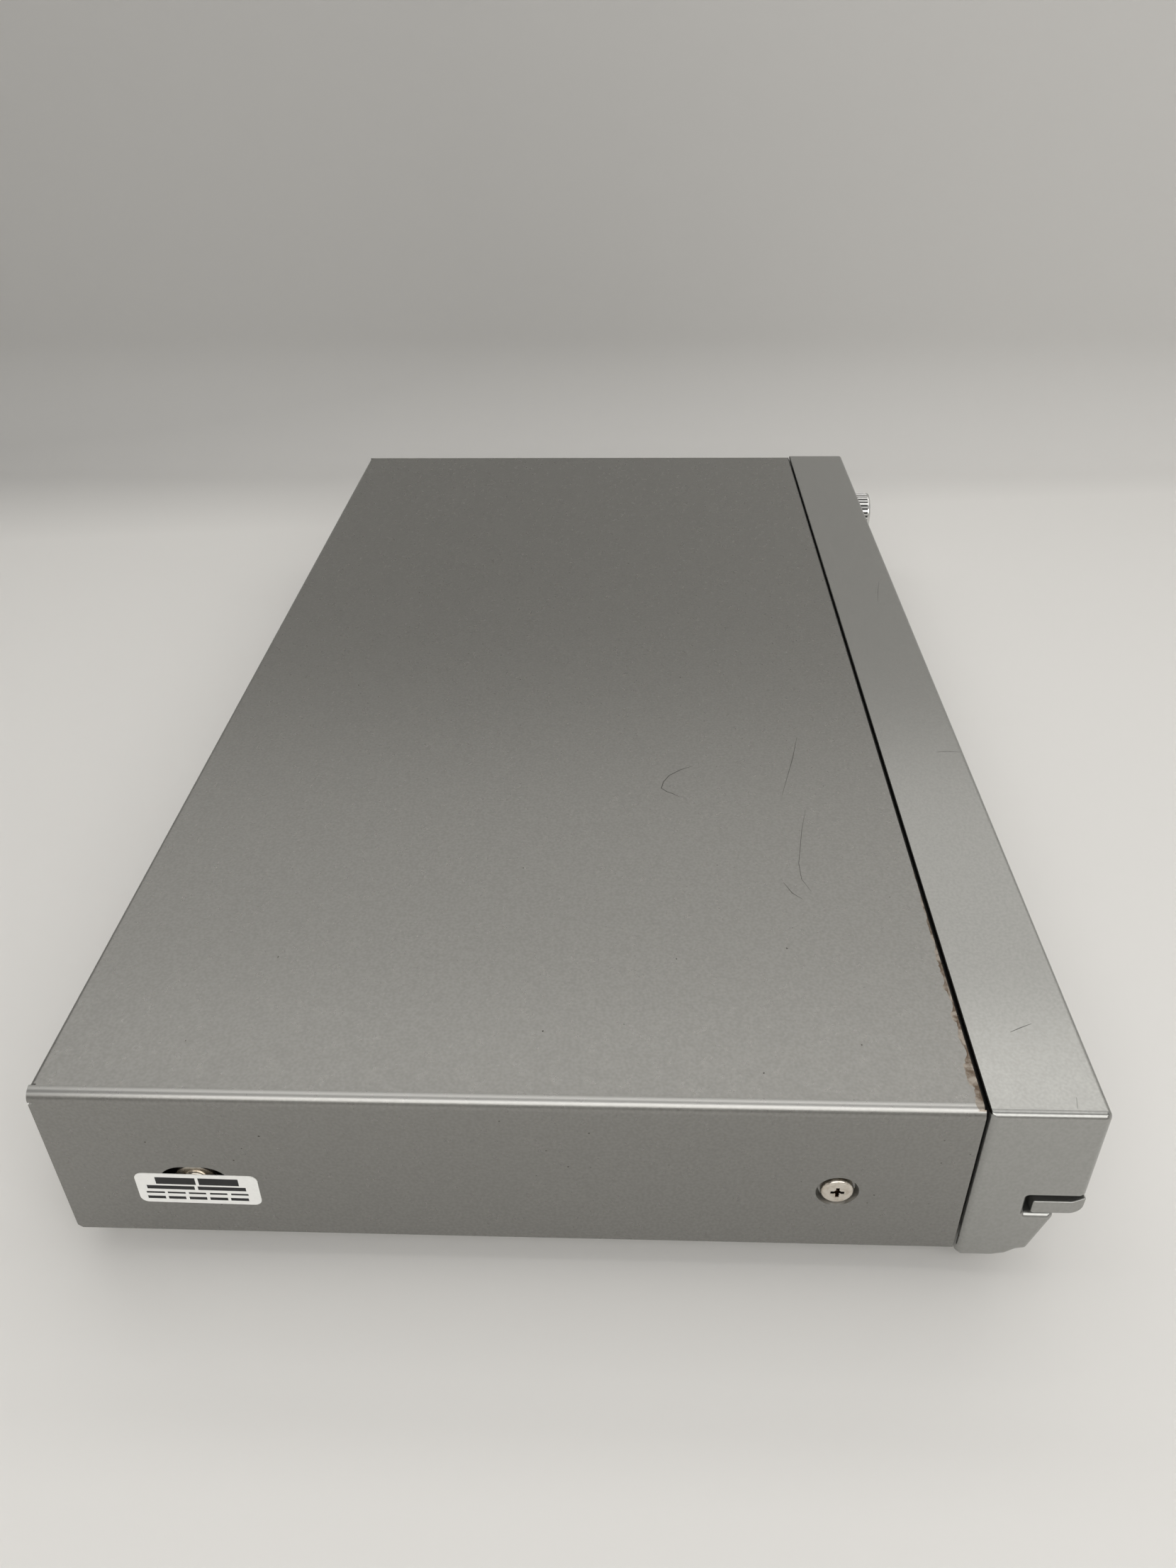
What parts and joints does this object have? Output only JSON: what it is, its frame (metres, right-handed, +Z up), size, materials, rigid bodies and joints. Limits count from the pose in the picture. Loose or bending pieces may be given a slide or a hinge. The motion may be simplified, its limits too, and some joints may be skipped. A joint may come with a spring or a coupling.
{
  "type": "dvr recorder",
  "caption": "Slim silver security recorder with sheet-metal cover, drop-down front door, disc tray, keys, jog dial, hard disk and rear video sockets.",
  "frame": {"origin": "middle of the bounding box, at the level of the feet", "axes": "+X to the right seen from the front, +Y from front to back, +Z up"},
  "size_m": [0.4316, 0.2646, 0.0591],
  "materials": {
    "silver_paint": "fine metallic satin",
    "zinc_sheet": "plain zinc",
    "screw_nickel": "nickel",
    "foot_rubber": "matt",
    "label": "paper",
    "front_silver": "silver lacquer on plastic",
    "smoked_window": "smoked",
    "display_glass": "clear",
    "circuit_board": "solder mask",
    "supply_laminate": "bare laminate",
    "black_plastic": "matt",
    "white_nylon": "nylon",
    "key_silver": "satin",
    "dial_chrome": "bright plating",
    "motor_steel": "plated",
    "jack_nickel": "nickel",
    "jack_plastic": "moulded",
    "black_aluminium": "black anodised",
    "cast_alloy": "cast",
    "ferrite": "ferrite",
    "can_sleeve": "shrink sleeve"
  },
  "bodies": {
    "case": {"top_cover": "silver_paint", "base_chassis": "zinc_sheet", "rear_panel": "zinc_sheet", "disk_bracket": "zinc_sheet", "drive_cover": "zinc_sheet", "cover_screws": "screw_nickel", "foot_screws": "screw_nickel", "guide_rods": "screw_nickel", "inlet_pins": "screw_nickel", "feet": "foot_rubber", "seal_sticker": "label", "front_fascia": "front_silver", "display_window": "smoked_window", "display_module": "display_glass", "display_board": "circuit_board", "left_key_board": "circuit_board", "main_board": "circuit_board", "supply_board": "supply_laminate", "socket_panel": "black_plastic", "tact_switches": "black_plastic", "drive_frame": "black_plastic", "ac_inlet": "black_plastic", "board_chips": "black_plastic", "fan_frame": "black_plastic", "disc_clamper": "black_plastic", "encoder_body": "motor_steel", "sled_motor": "motor_steel", "spindle_motor": "motor_steel", "loading_motor": "motor_steel", "lan_port": "motor_steel", "usb_ports": "motor_steel", "vga_port": "motor_steel", "bnc_jacks": "jack_nickel", "audio_jacks": "jack_plastic", "front_av_jacks": "jack_plastic", "chip_heatsink": "black_aluminium", "supply_heatsink": "black_aluminium", "hard_disk": "cast_alloy", "transformer": "ferrite", "capacitors": "can_sleeve"},
    "door": {"front_door": "front_silver", "door_pins": "screw_nickel"},
    "dial": {"jog_dial": "dial_chrome", "encoder_shaft": "screw_nickel"},
    "tray": {"disc_tray": "black_plastic", "tray_front": "front_silver"},
    "loading_gear_body": {"loading_gear": "white_nylon"},
    "motor_pinion_body": {"motor_pinion": "white_nylon"},
    "pickup_sled": {"laser_sled": "black_plastic"},
    "sled_screw": {"lead_screw": "screw_nickel"},
    "turntable_body": {"turntable": "black_plastic"},
    "fan_wheel": {"fan_rotor": "black_plastic"},
    "play_button_body": {"play_button": "key_silver"},
    "pause_button_body": {"pause_button": "key_silver"},
    "stop_button_body": {"stop_button": "key_silver"},
    "rewind_button_body": {"rewind_button": "key_silver"},
    "forward_button_body": {"forward_button": "key_silver"},
    "record_button_body": {"record_button": "key_silver"},
    "eject_button_body": {"eject_button": "key_silver"},
    "power_button_body": {"power_button": "key_silver"}
  },
  "joints": [
    {"name": "door_hinge", "type": "hinge", "parent": "case", "child": "door", "pos_m": [0, -0.1122, 0.0122], "axis": [1, 0, 0], "range_deg": [0, 85]},
    {"name": "tray_slide", "type": "slide", "parent": "case", "child": "tray", "axis": [0, -1, 0], "range_m": [0, 0.132]},
    {"name": "loading_gear_spin", "type": "hinge", "parent": "case", "child": "loading_gear_body", "pos_m": [-0.1295, -0.0859, 0.0315], "axis": [0, 0, 1], "range_deg": [0, 946]},
    {"name": "motor_pinion_spin", "type": "hinge", "parent": "case", "child": "motor_pinion_body", "pos_m": [-0.1127, -0.0859, 0.0315], "axis": [0, 0, 1], "range_deg": [-3028, 0]},
    {"name": "sled_slide", "type": "slide", "parent": "case", "child": "pickup_sled", "axis": [0, 1, 0], "range_m": [0, 0.032]},
    {"name": "lead_screw_spin", "type": "hinge", "parent": "case", "child": "sled_screw", "pos_m": [-0.0515, -0.0319, 0.028], "axis": [0, 1, 0], "range_deg": [0, 3842]},
    {"name": "turntable_spin", "type": "hinge", "parent": "case", "child": "turntable_body", "pos_m": [-0.079, -0.0519, 0.0355], "axis": [0, 0, 1], "continuous": true},
    {"name": "jog_dial_turn", "type": "hinge", "parent": "case", "child": "dial", "pos_m": [0.176, -0.1259, 0.0435], "axis": [0, -1, 0], "continuous": true},
    {"name": "fan_spin", "type": "hinge", "parent": "case", "child": "fan_wheel", "pos_m": [0.096, 0.1131, 0.034], "axis": [0, 1, 0], "continuous": true},
    {"name": "play_press", "type": "slide", "parent": "case", "child": "play_button_body", "axis": [0, 1, 0], "range_m": [0, 0.0009], "stiffness_N_per_m": 900, "springref_m": -0.0006},
    {"name": "pause_press", "type": "slide", "parent": "case", "child": "pause_button_body", "axis": [0, 1, 0], "range_m": [0, 0.0009], "stiffness_N_per_m": 900, "springref_m": -0.0006},
    {"name": "stop_press", "type": "slide", "parent": "case", "child": "stop_button_body", "axis": [0, 1, 0], "range_m": [0, 0.0009], "stiffness_N_per_m": 900, "springref_m": -0.0006},
    {"name": "rewind_press", "type": "slide", "parent": "case", "child": "rewind_button_body", "axis": [0, 1, 0], "range_m": [0, 0.0009], "stiffness_N_per_m": 900, "springref_m": -0.0006},
    {"name": "forward_press", "type": "slide", "parent": "case", "child": "forward_button_body", "axis": [0, 1, 0], "range_m": [0, 0.0009], "stiffness_N_per_m": 900, "springref_m": -0.0006},
    {"name": "record_press", "type": "slide", "parent": "case", "child": "record_button_body", "axis": [0, 1, 0], "range_m": [0, 0.0009], "stiffness_N_per_m": 900, "springref_m": -0.0006},
    {"name": "eject_press", "type": "slide", "parent": "case", "child": "eject_button_body", "axis": [0, 1, 0], "range_m": [0, 0.0009], "stiffness_N_per_m": 900, "springref_m": -0.0006},
    {"name": "power_press", "type": "slide", "parent": "case", "child": "power_button_body", "axis": [0, 1, 0], "range_m": [0, 0.0009], "stiffness_N_per_m": 900, "springref_m": -0.0006}
  ],
  "couplings": [
    {"joint": "loading_gear_spin", "follows": "tray_slide", "rad_per_m": 125},
    {"joint": "motor_pinion_spin", "follows": "tray_slide", "rad_per_m": -400},
    {"joint": "lead_screw_spin", "follows": "sled_slide", "rad_per_m": 2094.4}
  ]
}
